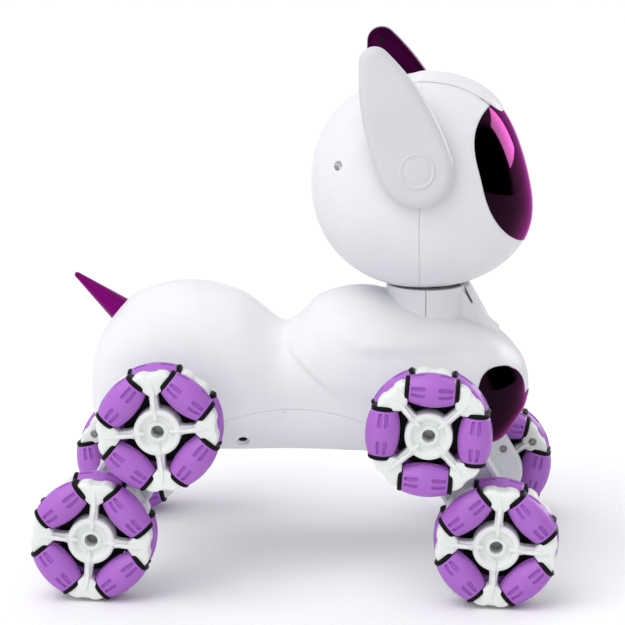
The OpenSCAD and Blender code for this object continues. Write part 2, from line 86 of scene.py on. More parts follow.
def object_noise(tree, scale, detail=3.0, stretch=(1, 1, 1)):
    """Noise fixed to the piece, with about one blob in each 1/scale of a metre."""
    coordinates = tree.nodes.new("ShaderNodeTexCoord")
    mapping = tree.nodes.new("ShaderNodeMapping")
    mapping.inputs["Scale"].default_value = stretch
    texture = tree.nodes.new("ShaderNodeTexNoise")
    texture.inputs["Scale"].default_value = scale
    texture.inputs["Detail"].default_value = detail
    tree.links.new(coordinates.outputs["Object"], mapping.inputs["Vector"])
    tree.links.new(mapping.outputs["Vector"], texture.inputs["Vector"])
    return texture.outputs["Fac"]


def remap(tree, value, from_range, to_range):
    node = tree.nodes.new("ShaderNodeMapRange")
    node.inputs["From Min"].default_value = from_range[0]
    node.inputs["From Max"].default_value = from_range[1]
    node.inputs["To Min"].default_value = to_range[0]
    node.inputs["To Max"].default_value = to_range[1]
    tree.links.new(value, node.inputs["Value"])
    return node.outputs["Result"]


def mix_colour(tree, factor, low, high):
    """Colour that goes from low to high. Each is a colour or another node's output."""
    node = tree.nodes.new("ShaderNodeMix")
    node.data_type = "RGBA"
    tree.links.new(factor, node.inputs["Factor"])
    for name, colour in (("A", low), ("B", high)):
        if isinstance(colour, tuple):
            node.inputs[name].default_value = (*colour, 1)
        else:
            tree.links.new(colour, node.inputs[name])
    return node.outputs["Result"]


def add_bump(tree, shader, height, strength, depth_mm):
    bump = tree.nodes.new("ShaderNodeBump")
    bump.inputs["Strength"].default_value = strength
    bump.inputs["Distance"].default_value = depth_mm * MM
    tree.links.new(height, bump.inputs["Height"])
    tree.links.new(bump.outputs["Normal"], shader.inputs["Normal"])


def moulded_plastic(name, colour, roughness, grain=1400, grain_strength=0.12, wear=0.08, sockets={}):
    """Moulded plastic: a faintly cloudy tint, the mould's fine texture, and lighter, worn edges."""
    material, tree, shader = new_material(name, colour, roughness, sockets)
    darker = tuple(c * 0.96 for c in colour)
    lighter = tuple(min(1, c * 1.15 + 0.05) for c in colour)
    cloud = remap(tree, object_noise(tree, 45), (0.35, 0.65), (0, 1))
    tint = mix_colour(tree, cloud, darker, colour)
    geometry = tree.nodes.new("ShaderNodeNewGeometry")
    edge = remap(tree, geometry.outputs["Pointiness"], (0.52, 0.62), (0, wear))
    worn = mix_colour(tree, edge, tint, lighter)
    tree.links.new(worn, shader.inputs["Base Color"])
    rough = remap(tree, object_noise(tree, 160, 5), (0.3, 0.7), (roughness - 0.04, roughness + 0.06))
    tree.links.new(rough, shader.inputs["Roughness"])
    add_bump(tree, shader, object_noise(tree, grain, 2), grain_strength, 0.03)
    return material


def plated_gloss(name, colour, sockets):
    """Dark mirror-like plating with barely visible ripples and dust."""
    material, tree, shader = new_material(name, colour, 0.05, sockets)
    haze = remap(tree, object_noise(tree, 260, 6), (0.3, 0.7), (0.03, 0.08))
    tree.links.new(haze, shader.inputs["Roughness"])
    cloud = remap(tree, object_noise(tree, 30), (0.3, 0.7), (0, 1))
    tint = mix_colour(tree, cloud, tuple(c * 0.8 for c in colour), colour)
    tree.links.new(tint, shader.inputs["Base Color"])
    add_bump(tree, shader, object_noise(tree, 50, 2), 0.03, 0.06)
    return material


def brushed_metal(name, colour, roughness):
    material, tree, shader = new_material(name, colour, roughness, {"Metallic": 1.0})
    streaks = object_noise(tree, 900, 3, (1, 0.08, 1))
    rough = remap(tree, streaks, (0.3, 0.7), (roughness - 0.08, roughness + 0.12))
    tree.links.new(rough, shader.inputs["Roughness"])
    add_bump(tree, shader, streaks, 0.15, 0.02)
    return material


MATERIALS = {
    "shell_white": moulded_plastic("shell_white", (0.80, 0.805, 0.825), 0.42,
                                   sockets={"Specular IOR Level": 0.2}),
    # Shell white darkened for the ears: painted shade, a shaded copy of the same plastic.
    "shaded_ear_white": moulded_plastic("shaded_ear_white", (0.64, 0.637, 0.66), 0.45,
                                 sockets={"Specular IOR Level": 0.25}),
    "wheel_white": moulded_plastic("wheel_white", (0.80, 0.825, 0.79), 0.38),
    "roller_lilac": moulded_plastic("roller_lilac", (0.40, 0.125, 0.56), 0.45, 2200, 0.2),
    "black_plastic": moulded_plastic("black_plastic", (0.003, 0.0028, 0.0035), 0.5, wear=0.01,
                                     sockets={"Specular IOR Level": 0.12}),
    "belt_black": moulded_plastic("belt_black", (0.02, 0.02, 0.02), 0.7, 500, 0.5),
    "arm_grey": moulded_plastic("arm_grey", (0.66, 0.67, 0.71), 0.38),
    "magenta": moulded_plastic("magenta", (0.2, 0.002, 0.15), 0.3, wear=0.02,
                               sockets={"Metallic": 0.85, "Specular IOR Level": 0.2}),
    # Magenta darkened for the ear panels: painted shade, a shaded copy of the same plating.
    "shaded_ear_magenta": moulded_plastic("shaded_ear_magenta", (0.05, 0.0005, 0.035), 0.28, wear=0.01,
                                   sockets={"Metallic": 0.9, "Specular IOR Level": 0.2}),
    "dark_gloss": plated_gloss("dark_gloss", (0.011, 0.0003, 0.008), {
        "Metallic": 1.0, "Specular Tint": (0.9, 0.12, 0.75, 1),
        "Coat Weight": 0.1, "Coat Roughness": 0.03}),
    # Steel darkened: partly the metal's own brownish tone, partly painted shade for the axle ends deep
    # in the wheel bores.
    "steel": brushed_metal("steel", (0.24, 0.235, 0.22), 0.36),
    "board_green": moulded_plastic("board_green", (0.03, 0.16, 0.07), 0.25, 300),
    "cell_wrap": moulded_plastic("cell_wrap", (0.05, 0.16, 0.4), 0.2, 200),
}


# ---------------------------------------------------------------- forms: (points, faces) in mm

def grid_faces(rows, columns, closed=False):
    """Quads over a grid of points stored row by row. A closed grid joins last column to first."""
    last = columns if closed else columns - 1
    return [
        (i * columns + j, i * columns + (j + 1) % columns,
         (i + 1) * columns + (j + 1) % columns, (i + 1) * columns + j)
        for i in range(rows - 1) for j in range(last)
    ]


def grid_form(grid):
    return grid.reshape(-1, 3), grid_faces(*grid.shape[:2])


def rings_form(rings):
    """Solid over rings with the same number of points, with flat ends."""
    count = len(rings[0])
    faces = grid_faces(len(rings), count, closed=True)
    faces.append(tuple(range(count))[::-1])
    faces.append(tuple((len(rings) - 1) * count + j for j in range(count)))
    return np.vstack(rings), faces


def at_height(outline, z):
    return np.c_[outline, np.full(len(outline), z)]


def circle(radius, count=48):
    angles = np.linspace(0, 2 * math.pi, count, endpoint=False)
    return np.c_[np.cos(angles), np.sin(angles)] * radius


def lathe(profile, count=48):
    """Solid turned about Z, from (radius, z) points."""
    return rings_form([at_height(circle(max(r, 0.002), count), z) for r, z in profile])


def ball(radius):
    steps = np.radians(np.linspace(-90, 90, 19))
    return lathe([(radius * math.cos(a), radius * math.sin(a)) for a in steps], 36)


def turned_ring(profile, count=48):
    """Ring turned about Z, from the (radius, z) points of a closed loop clear of the axis."""
    return loop_form([at_height(circle(r, count), z) for r, z in profile])


def loop_form(rings):
    """Solid over rings of points that close on themselves, the last one joined to the first."""
    count = len(rings[0])
    total = len(rings) * count
    faces = grid_faces(len(rings) + 1, count, closed=True)
    return np.vstack(rings), [tuple(i % total for i in face) for face in faces]


def prism(outline, z0, z1):
    outline = np.asarray(outline, float)
    return rings_form([at_height(outline, z0), at_height(outline, z1)])


def slot_outline(radius, length):
    """Round-ended outline from the origin to x = length."""
    angles = np.linspace(-math.pi / 2, math.pi / 2, 20)
    far = np.c_[length + radius * np.cos(angles), radius * np.sin(angles)]
    near = np.c_[-radius * np.cos(angles), -radius * np.sin(angles)]
    return np.vstack([far, near])


def slot_form(profile, length):
    """Round-ended solid from (radius, z) points."""
    return rings_form([at_height(slot_outline(r, length), z) for r, z in profile])


def arc(centre, radius, start, end, steps):
    """Points along an arc between two angles in degrees, without the last one."""
    angles = np.radians(np.linspace(start, end, steps + 1)[:-1])
    return np.array(centre) + radius * np.c_[np.cos(angles), np.sin(angles)]


def leaf_outline(root_r, tip_r, length, side_r):
    """Outline with a round end at the origin, a smaller one at y = length, and long curved sides."""
    side_y = ((side_r - root_r) ** 2 - (side_r - tip_r) ** 2 + length ** 2) / (2 * length)
    side_x = math.sqrt((side_r - root_r) ** 2 - side_y ** 2)
    low = -math.degrees(math.atan(side_y / side_x))
    high = math.degrees(math.atan((length - side_y) / side_x))
    return np.vstack([
        arc((0, 0), root_r, 180 - low, 360 + low, 44),
        arc((-side_x, side_y), side_r, low, high, 26),
        arc((0, length), tip_r, high, 180 - high, 24),
        arc((side_x, side_y), side_r, 180 - high, 180 - low, 26),
    ])


def joined(*forms):
    """Several solids as one form."""
    points, faces = [], []
    start = 0
    for form_points, form_faces in forms:
        points.append(form_points)
        faces += [tuple(i + start for i in face) for face in form_faces]
        start += len(form_points)
    return np.vstack(points), faces


def moved(form, *matrices):
    """The form through the matrices, the last one first."""
    total = Matrix.Identity(4)
    for matrix in matrices:
        total = total @ matrix
    points = np.c_[form[0], np.ones(len(form[0]))] @ np.array(total).T
    return points[:, :3], form[1]


def shift(x, y, z):
    return Matrix.Translation((x, y, z))


def turn(axis, degrees):
    return Matrix.Rotation(math.radians(degrees), 4, axis)


def mirror(y=1, z=1):
    return Matrix.Diagonal((1, y, z, 1))


def outward(side):
    """Puts a form's Z along the side's outward direction, with its Y up."""
    return mirror(y=-side) @ turn("X", 90)


def smooth_step(value, start, end):
    t = np.clip((value - start) / (end - start), 0, 1)
    return t * t * (3 - 2 * t)


def smooth_max(a, b, blend):
    h = np.clip(0.5 + 0.5 * (a - b) / blend, 0, 1)
    return b * (1 - h) + a * h + blend * h * (1 - h)


def full(value, fullness):
    """Sine or cosine with a fuller shoulder than a circle's."""
    return np.sign(value) * np.abs(value) ** (2 / fullness)


def through_rows(rows, t):
    """Smooth curve through a table's rows, at t counted in rows."""
    t = np.asarray(t, float)
    last = len(rows) - 1
    i = np.clip(np.floor(t).astype(int), 0, last - 1)
    u = (t - i)[..., None]
    a, b, c, d = (rows[np.clip(i + k, 0, last)] for k in (-1, 0, 1, 2))
    return (b + u / 2 * (c - a) + u ** 2 * (a - 2.5 * b + 2 * c - d / 2)
            + u ** 3 * (1.5 * (b - c) + (d - a) / 2))


def solve(inside, low, high):
    """Where a function of one value, true at low and false at high, changes. Works on arrays."""
    low, high = np.array(low, float), np.array(high, float)
    for _ in range(40):
        middle = (low + high) / 2
        is_in = inside(middle)
        low = np.where(is_in, middle, low)
        high = np.where(is_in, high, middle)
    return (low + high) / 2


# ---------------------------------------------------------------- making pieces

def mesh_of(name, form, material, centre=None, sharp=35):
    """Mesh in metres. An open sheet's faces are turned to face away from the centre."""
    mesh = bpy.data.meshes.new(name)
    mesh.from_pydata((np.asarray(form[0]) * MM).tolist(), [], [list(f) for f in form[1]])
    work = bmesh.new()
    work.from_mesh(mesh)
    bmesh.ops.remove_doubles(work, verts=work.verts, dist=2e-6)
    bmesh.ops.recalc_face_normals(work, faces=work.faces)
    if centre is not None:
        middle = Vector(centre) * MM
        facing = sum(f.normal.dot(f.calc_center_median() - middle) * f.calc_area() for f in work.faces)
        if facing < 0:
            bmesh.ops.reverse_faces(work, faces=work.faces)
    work.to_mesh(mesh)
    work.free()
    for polygon in mesh.polygons:
        polygon.use_smooth = True
    mesh.set_sharp_from_angle(angle=math.radians(sharp))
    mesh.materials.append(MATERIALS[material])
    return mesh


def place(name, mesh, body, replaces=(), matrix=None):
    piece = bpy.data.objects.new(name, mesh)
    bpy.context.scene.collection.objects.link(piece)
    if matrix is not None:
        piece.matrix_world = matrix
    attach(piece, body)
    if replaces:
        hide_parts(*replaces)
    return piece


def add_bevel(piece, width, segments=2, angle=38):
    rounding = piece.modifiers.new("rounding", "BEVEL")
    rounding.width = width * MM
    rounding.segments = segments
    rounding.limit_method = "ANGLE"
    rounding.angle_limit = math.radians(angle)
    rounding.harden_normals = False


def solid_piece(name, form, body, slot, replaces=(), sharp=35, material=None):
    """Solid whose finish is its slot's, unless another material is named."""
    mesh = mesh_of(name, form, material or slot, sharp=sharp)
    return place(name, mesh, body, replaces)


def sheet_piece(name, grid, centre, body, slot, replaces=(), wall=2.0, edge=0.25):
    """Moulded panel: an outer face given as a grid of points, with a wall and rounded edges."""
    mesh = mesh_of(name, grid_form(grid), slot, centre)
    piece = place(name, mesh, body, replaces)
    thickness = piece.modifiers.new("wall", "SOLIDIFY")
    thickness.thickness = wall * MM
    thickness.offset = -1
    add_bevel(piece, edge, 3, 60)
    return piece


def settle(piece):
    """Replaces a piece's mesh with what its modifiers make of it."""
    bpy.context.view_layer.update()
    evaluated = piece.evaluated_get(bpy.context.evaluated_depsgraph_get())
    piece.data = bpy.data.meshes.new_from_object(evaluated)
    piece.modifiers.clear()


def cut(piece, form):
    """Takes a solid out of a piece."""
    cutter = bpy.data.objects.new("cutter", mesh_of("cutter", form, "shell_white"))
    bpy.context.scene.collection.objects.link(cutter)
    difference = piece.modifiers.new("cut", "BOOLEAN")
    difference.operation = "DIFFERENCE"
    difference.solver = "EXACT"
    difference.object = cutter
    settle(piece)
    bpy.data.objects.remove(cutter)


# ---------------------------------------------------------------- body

BELLY_Z = box_mm("belly_pan")[0][2]
BODY_HALF_W = 43.0
BODY_MID_Z = 86.0
TOP_FULLNESS = 2.3
UNDERSIDE_FULLNESS = 3.2
# Each station along the body: x, underside, top, share of the full half width
BODY_STATIONS = np.array([
    (-106.2, 84, 92, 0.10),
    (-104.5, 74, 104, 0.40),
    (-98, 64, 118.5, 0.70),
    (-84, 58, 133, 0.93),
    (-58, 57, 139.6, 1.00),
    (-32, 57, 134, 0.98),
    (-9, 57, 119, 0.90),
    (9, 57, 133, 0.90),
    (30, 57, 138, 0.96),
    (56, 57, 132, 1.00),
    (80, 57, 125, 0.93),
    (97, 63.5, 116.5, 0.74),
    (108, 77, 105, 0.43),
    (111.6, 85.5, 96.5, 0.10),
])
LAST_STATION = len(BODY_STATIONS) - 1
PAN_ARC_R = 108.0
PAN_ARC_X = -2.0
PAN_ARC_Z = 84.0 - PAN_ARC_R
PAN_REACH = math.sqrt(PAN_ARC_R ** 2 - (BELLY_Z - PAN_ARC_Z) ** 2)
SEAM_HALF_GAP = 0.07
# Screw recess and moulding mark in the pan's right flank: middle and radius of each cutting ball
PAN_DIMPLES = [((-27.6, -38.3, 67.1), 3.1), ((-7, -38.8, 82.4), 0.75)]
# Openings in the belly
DOOR_PLAY = 0.3
SWITCH_X = -48.0
SWITCH_KNOB_L = 5.0
SWITCH_TRAVEL = 3.6
SWITCH_HALF_W = 2.3
SWITCH_PLAY = 0.6
SCREW_RECESS_R = 2.8
SCREW_RECESS_X = (-58, 51)
SCREW_RECESS_Y = (-20, 20)
SPEAKER_HOLE_R = 0.9
SPEAKER_HOLE_X = (32, 36, 40, 44)
SPEAKER_HOLE_Y = (-6, -2, 2, 6)
HIP_X = np.mean(box_mm("wheel_frame_front_right_hip"), axis=0)[0]
HIP_Z = np.mean(box_mm("wheel_frame_front_right_hip"), axis=0)[2]


def body_ring_point(station, angle):
    """Plain body form at a station's values and an angle, with angle 0 at the dog's right."""
    x, low, high, share = (station[..., k] for k in range(4))
    c, s = np.cos(angle), np.sin(angle)
    upper = s > 0
    y = -share * BODY_HALF_W * full(c, np.where(upper, TOP_FULLNESS, UNDERSIDE_FULLNESS))
    z = BODY_MID_Z + np.where(
        upper,
        (high - BODY_MID_Z) * full(s, TOP_FULLNESS),
        (BODY_MID_Z - low) * full(s, UNDERSIDE_FULLNESS),
    )
    return x, y, z


def body_relief(x, y, z):
    """How far the surface stands out. The shoulder laps over the waist and overhangs the chest."""
    waist_x = -8 + 1.12 * smooth_max(113.5 - z, np.zeros_like(z), 6)
    past_waist = x - waist_x
    waist = 1.3 * smooth_step(past_waist, -1.6, 1.8) * (1 - smooth_step(past_waist, 2, 40))
    waist *= smooth_step(z, 86, 100)
    hood_z = 112.4 + 0.055 * (x - 32) + 6.5 * smooth_step(34 - x, 0, 20)
    below = hood_z - z
    hood = -1.6 * smooth_step(below, -3.5, 3.5) * (1 - smooth_step(below, 3.5, 34))
    hood *= smooth_step(x, 14, 36) * (1 - smooth_step(x, 76, 98)) * smooth_step(np.abs(y), 14, 30)
    return waist + hood


def body_surface(along, angle):
    station = through_rows(BODY_STATIONS, along)
    x, y, z = body_ring_point(station, angle)
    half_w = station[..., 3] * BODY_HALF_W
    rise = np.where(z > BODY_MID_Z, station[..., 2] - BODY_MID_Z, BODY_MID_Z - station[..., 1])
    lean_y = y / half_w ** 2
    lean_z = (z - BODY_MID_Z) / rise ** 2
    size = np.hypot(lean_y, lean_z) + 1e-9
    relief = body_relief(x, y, z)
    y = y + relief * lean_y / size
    z = z + relief * lean_z / size
    z = smooth_max(z, np.full_like(z, BELLY_Z), 0.8)
    return np.stack([x, y, z], axis=-1)


def even_stations(count, start=0.0, end=LAST_STATION):
    """Station numbers spaced evenly along the body's side."""
    fine = np.linspace(start, end, 4000)
    rows = through_rows(BODY_STATIONS, fine)
    steps = np.hypot(np.diff(rows[:, 0]), np.diff(rows[:, 3]) * BODY_HALF_W)
    length = np.r_[0, np.cumsum(steps)]
    return np.interp(np.linspace(0, length[-1], count), length, fine)


def pan_seam_angles(along, shift_z):
    """Angle round the body at which the belly pan's arched seam crosses each station."""
    x = through_rows(BODY_STATIONS, along)[:, 0]
    reach = np.clip(np.abs(x - PAN_ARC_X), 0, PAN_REACH)
    seam_z = PAN_ARC_Z + np.sqrt(PAN_ARC_R ** 2 - reach ** 2) + shift_z
    seam_z = np.maximum(seam_z, BELLY_Z + 0.4)

    def below(angle):
        return body_surface(along, angle)[..., 2] < seam_z

    return solve(below, np.full(len(along), -math.pi / 2), np.full(len(along), math.radians(30)))


def body_shell(side_name):
    """One moulded half of the body, from the seam along the back to the pan's seam."""
    side = SIDES[side_name]
    along = even_stations(420)
    x = through_rows(BODY_STATIONS, along)[:, 0]
    over_pan = np.abs(x - PAN_ARC_X) < PAN_REACH
    seam = pan_seam_angles(along, SEAM_HALF_GAP)[:, None]
    under = np.where(over_pan[:, None], seam, math.radians(-89.9))
    above_seam = seam + math.radians(1.5)
    top = math.radians(90) - 2 * SEAM_HALF_GAP / BODY_HALF_W
    angle = np.hstack([
        under + (above_seam - under) * np.arange(3) / 3,
        above_seam + (top - above_seam) * np.linspace(0, 1, 150),
    ])
    grid = with_nose(body_surface(np.repeat(along[:, None], angle.shape[1], 1), angle))
    grid[..., 1] *= -side
    centre = (0, 0, BODY_MID_Z)
    return sheet_piece(f"shell_body_{side_name}", grid, centre, "body", "shell_white",
                       [f"body_shell_{side_name}"])


def with_nose(grid):
    """The body's grid with both ends drawn in to a rounded point."""
    def tip(row, direction):
        centre = np.array([row[:, 0].mean(), -SEAM_HALF_GAP, row[:, 2].mean()])
        rows = []
        for share, reach in ((0.55, 0.5), (0.05, 0.7)):
            ring = centre + (row - centre) * share
            ring[:, 0] += direction * reach
            rows.append(ring)
        return rows
    start = tip(grid[0], -1)[::-1]
    end = tip(grid[-1], 1)
    return np.concatenate([np.array(start), grid, np.array(end)])


def belly_pan():
    """Lower tub with its flat belly, open for the battery door, switch, screws and speaker."""
    fine = even_stations(2000)
    x = through_rows(BODY_STATIONS, fine)[:, 0]
    inside = fine[np.abs(x - PAN_ARC_X) < PAN_REACH - SEAM_HALF_GAP]
    along = even_stations(190, inside[0], inside[-1])
    edge = pan_seam_angles(along, -SEAM_HALF_GAP)
    t = np.linspace(0, 1, 60)
    bottom = -math.pi / 2
    right = body_surface(np.repeat(along[:, None], len(t), 1),
                         bottom + (edge[:, None] - bottom) * t)
    left = right * (1, -1, 1)
    grid = np.concatenate([right[:, ::-1], left[:, 1:]], axis=1)
    pan = sheet_piece("shell_belly_pan", grid, (0, 0, BODY_MID_Z), "body", "shell_white",
                      ["belly_pan"])
    settle(pan)
    cut(pan, belly_openings())
    for place_mm, radius in PAN_DIMPLES:
        cut(pan, moved(ball(radius), shift(*place_mm)))
    return pan


def belly_openings():
    """Everything that is open in the belly, as solids that stand through its wall."""
    low_z, high_z = BELLY_Z - 2, BELLY_Z + 4
    door_low, door_high = box_mm("battery_door")
    door = rectangle(*(door_low[:2] - DOOR_PLAY), *(door_high[:2] + DOOR_PLAY))
    slot_end = SWITCH_X + SWITCH_KNOB_L + SWITCH_TRAVEL + SWITCH_PLAY
    slot = rectangle(SWITCH_X, -SWITCH_HALF_W, slot_end, SWITCH_HALF_W)
    forms = [prism(outline, low_z, high_z) for outline in (door, slot)]
    recess = lathe([(SCREW_RECESS_R, low_z), (SCREW_RECESS_R, high_z)], 32)
    forms += [moved(recess, shift(x, y, 0)) for x in SCREW_RECESS_X for y in SCREW_RECESS_Y]
    hole = lathe([(SPEAKER_HOLE_R, low_z), (SPEAKER_HOLE_R, high_z)], 16)
    forms += [moved(hole, shift(x, y, 0)) for x in SPEAKER_HOLE_X for y in SPEAKER_HOLE_Y]
    return joined(*forms)


def rectangle(x0, y0, x1, y1):
    return [(x0, y0), (x1, y0), (x1, y1), (x0, y1)]


def hip_ring(leg):
    """Round bearing that stands out of the body's side and holds a leg's sleeve."""
    end, side = LEGS[leg][:2]
    inner, outer = 9.05, 12.5
    ring = turned_ring([
        (inner, 33), (inner, 46.1), (inner + 0.4, 46.5), (outer - 0.5, 46.5), (outer, 46), (outer, 33)])
    form = moved(ring, shift(end * HIP_X, 0, HIP_Z), outward(side))
    solid_piece(f"hip_ring_{leg}", form, "body", "shell_white")


def on_chest(y, z, proud):
    """Points on the body's front at the given y and z, moved forwards by a distance."""
    upper = z > BODY_MID_Z
    power = np.where(upper, TOP_FULLNESS, UNDERSIDE_FULLNESS)

    def contains(along):
        _, low, high, share = np.moveaxis(through_rows(BODY_STATIONS, along), -1, 0)
        rise = np.where(upper, high - BODY_MID_Z, BODY_MID_Z - low)
        return (np.abs(y / (share * BODY_HALF_W)) ** power
                + np.abs((z - BODY_MID_Z) / rise) ** power) < 1

    along = solve(contains, np.full(y.shape, 9.0), np.full(y.shape, float(LAST_STATION)))
    x = through_rows(BODY_STATIONS, along)[..., 0] + proud
    return np.stack([x, y, z], axis=-1)


def chest_plate():
    """Glossy plate on the chest: two round lobes, joined below the chest's white tongue."""
    lobe_y, inner_w, outer_w = 28.0, 14.0, 10.0
    lobe_z, half_h = 85.3, 19.3
    fullness = 2.3
    bridge_low, bridge_high = 66.0, 87.0

    def reach(y):
        across = np.abs(y - lobe_y) / np.where(y > lobe_y, outer_w, inner_w)
        return half_h * np.maximum(1 - across ** fullness, 0) ** (1 / fullness)

    def top(y):
        return smooth_max(lobe_z + reach(y), np.full_like(y, bridge_high), 1.5)

    fine = np.linspace(0, lobe_y + outer_w, 3000)
    length = np.r_[0, np.cumsum(np.hypot(np.diff(fine), np.diff(reach(fine))))]
    half = np.interp(np.linspace(0, length[-1], 80), length, fine)
    y = np.concatenate([-half[:0:-1], half])
    low = np.where(np.abs(y) < lobe_y, bridge_low, lobe_z - reach(np.abs(y)))
    high = np.where(np.abs(y) < lobe_y, top(np.abs(y)), lobe_z + reach(np.abs(y)))
    z = low + (high - low) * np.linspace(0, 1, 44)[:, None]
    grid = on_chest(np.broadcast_to(y, z.shape), z, 0.7)
    sheet_piece("panel_chest", grid, (60, 0, lobe_z), "body", "dark_gloss", ["chest_plate"],
                wall=1.4, edge=0.6)


def tail():
    """Plain cone with a rounded tip, set into the body's back."""
    root = (-92, 0, 124.6)
    length, root_r, tip_r, inside = 28.0, 6.5, 1.4, 3.0
    slope = (root_r - tip_r) / length
    dome = [
        (tip_r * math.cos(a), length + tip_r * math.sin(a))
        for a in np.radians([0, 30, 55, 75, 90])
    ]
    profile = [(root_r + slope * inside, -inside), (root_r + slope * 0.5, -0.5)] + dome
    form = moved(lathe(profile, 64), shift(*root), turn("Y", 39 - 90))
    solid_piece("cone_tail", form, "body", "magenta", ["tail"], sharp=50)


# ---------------------------------------------------------------- neck

NECK_TOP_Z = 140.2


def neck():
    """Round neck in a front and a rear half, with an apron that runs down its front."""
    axis_x, radius, low_z = 61.0, 20.0, 100.0
    heights = np.linspace(low_z, NECK_TOP_Z, 40)[:, None]
    for half, start in (("front", -90), ("rear", 90)):
        angle = np.radians(np.linspace(start + 0.4, start + 179.6, 121))
        grid = np.stack(np.broadcast_arrays(
            axis_x + radius * np.cos(angle), radius * np.sin(angle), heights), axis=-1)
        sheet_piece(f"neck_{half}", grid, (axis_x, 0, 120), "body", "shell_white")
    cap = lathe([(17, 136.5), (17.8, 136.5), (17.8, 139.4), (9, 139.4), (8, 139.8), (8, 151)])
    solid_piece("neck_cap", moved(cap, shift(axis_x, 0, 0)), "body", "shell_white")
    apron()


def apron():
    """Sloping apron from the neck to the chest: a narrow plate with a slit, over a wider one."""
    back_x, foot_z = 76.0, 104.0
    slope = [(97.5, foot_z), (97.3, 117.8), (92.3, 122), (86.9, 132.1), (82.2, NECK_TOP_Z)]
    slit = [(80.0, NECK_TOP_Z), (84.1, 131.9), (83.4, 131.3), (78.3, NECK_TOP_Z)]
    outer = [(back_x, foot_z)] + slope + slit + [(back_x, NECK_TOP_Z)]
    inner = [(back_x, foot_z), (87.6, foot_z), (87.4, 114), (86.7, 119.7), (85.6, 125), (84.2, 128.6),
             (83.2, 131), (78.1, NECK_TOP_Z), (back_x, NECK_TOP_Z)]
    for name, outline, half_w in (("outer", outer, 7.6), ("inner", inner, 8.8)):
        replaced = ["neck"] if name == "outer" else []
        piece = solid_piece(f"neck_apron_{name}", moved(prism(outline, -half_w, half_w), turn("X", 90)),
                            "body", "shell_white", replaced)
        add_bevel(piece, 0.5, 3)


# ---------------------------------------------------------------- head

HEAD_X = 58.0
HEAD_Z = 191.5
HEAD_HALF_L = 54.4
HEAD_HALF_W = 51.5
HEAD_HALF_H = 52.5
HEAD_FULLNESS = 2.15
FACE_SLANT = 3.8


def head_size(z, grow=0.0):
    """Share of the head's full length and width at a height."""
    up = np.clip(np.abs(z - HEAD_Z) / (HEAD_HALF_H + grow), 0, 1) ** (HEAD_FULLNESS / 2)
    return np.sqrt(1 - up ** 2) ** (2 / HEAD_FULLNESS)


def face_slant(z, size):
    return FACE_SLANT * np.sin(math.pi * (z - HEAD_Z + 6.5) / 55) * np.minimum(1, 3 * size)


def head_point(z, size, angle, grow=0.0):
    """Head surface at a height, with angle 0 at the face and 90 degrees at the dog's left."""
    c = np.cos(angle)
    slant = np.where(c > 0, face_slant(z, size), 0)
    x = HEAD_X + ((HEAD_HALF_L + grow) * size - slant) * c
    y = (HEAD_HALF_W + grow) * size * np.sin(angle)
    return np.stack(np.broadcast_arrays(x, y, z), axis=-1)


def head_half(name, start, node):
    """Front or rear half of the hollow head, which meet in a seam across the ears."""
    up = np.radians(np.linspace(-80, 89.9, 200))[:, None]
    size = full(np.cos(up), HEAD_FULLNESS)
    z = HEAD_Z + HEAD_HALF_H * full(np.sin(up), HEAD_FULLNESS)
    margin = math.degrees(SEAM_HALF_GAP / HEAD_HALF_L)
    angle = np.radians(np.linspace(start + margin, start + 180 - margin, 200))
    grid = head_point(z, size, angle)
    return sheet_piece(name, grid, (HEAD_X, 0, HEAD_Z), "head", "shell_white", [node])


def head_rear():
    """Back of the head, with a screw tube behind a hole at each side."""
    rear = head_half("shell_head_rear", 90, "head_rear")
    settle(rear)
    low, high = box_mm("head_screws")
    bore_r, tube_r, tube_end_x = 2.4, 4.0, low[0] - 0.2
    screw_y = high[1] - bore_r
    screw_z = high[2] - bore_r
    for side_name, side in SIDES.items():
        hole = lathe([(bore_r, 0), (bore_r, 30)], 32)
        cut(rear, moved(hole, shift(0, side * screw_y, screw_z), turn("Y", 90)))
        rings = []
        for radius, reaches_skin in ((bore_r, True), (bore_r, False), (tube_r, False), (tube_r, True)):
            y, z = (circle(radius, 32) + (side * screw_y, screw_z)).T
            x = behind_head_skin(y, z, 0.6) if reaches_skin else np.full(32, tube_end_x)
            rings.append(np.c_[x, y, z])
        solid_piece(f"screw_tube_{side_name}", loop_form(rings), "head", "shell_white")


def behind_head_skin(y, z, depth):
    """X of the points inside the back of the head, a distance in from its outer skin."""
    size = head_size(z)
    return HEAD_X - HEAD_HALF_L * size * np.sqrt(1 - (y / (HEAD_HALF_W * size)) ** 2) + depth


def visor():
    """Glossy face: a fuller oval that wraps round the front of the head."""
    low, high = box_mm("visor")
    half_w = high[1]
    half_h = (high[2] - low[2]) / 2
    middle_z = (high[2] + low[2]) / 2
    fullness = 2.5
    ring = np.linspace(0, 2 * math.pi, 181)
    share = np.sin(np.linspace(0.0, math.pi / 2, 60))[:, None]
    y = share * half_w * full(np.cos(ring), fullness)
    z = middle_z + share * half_h * full(np.sin(ring), fullness)
    grow = 0.4
    size = head_size(z, grow)
    sine = np.clip(y / ((HEAD_HALF_W + grow) * size), -0.999, 0.999)
    grid = head_point(z, size, np.arcsin(sine), grow)
    sheet_piece("panel_visor", grid, (HEAD_X, 0, HEAD_Z), "head", "dark_gloss", ["visor"],
                wall=1.6, edge=0.45)


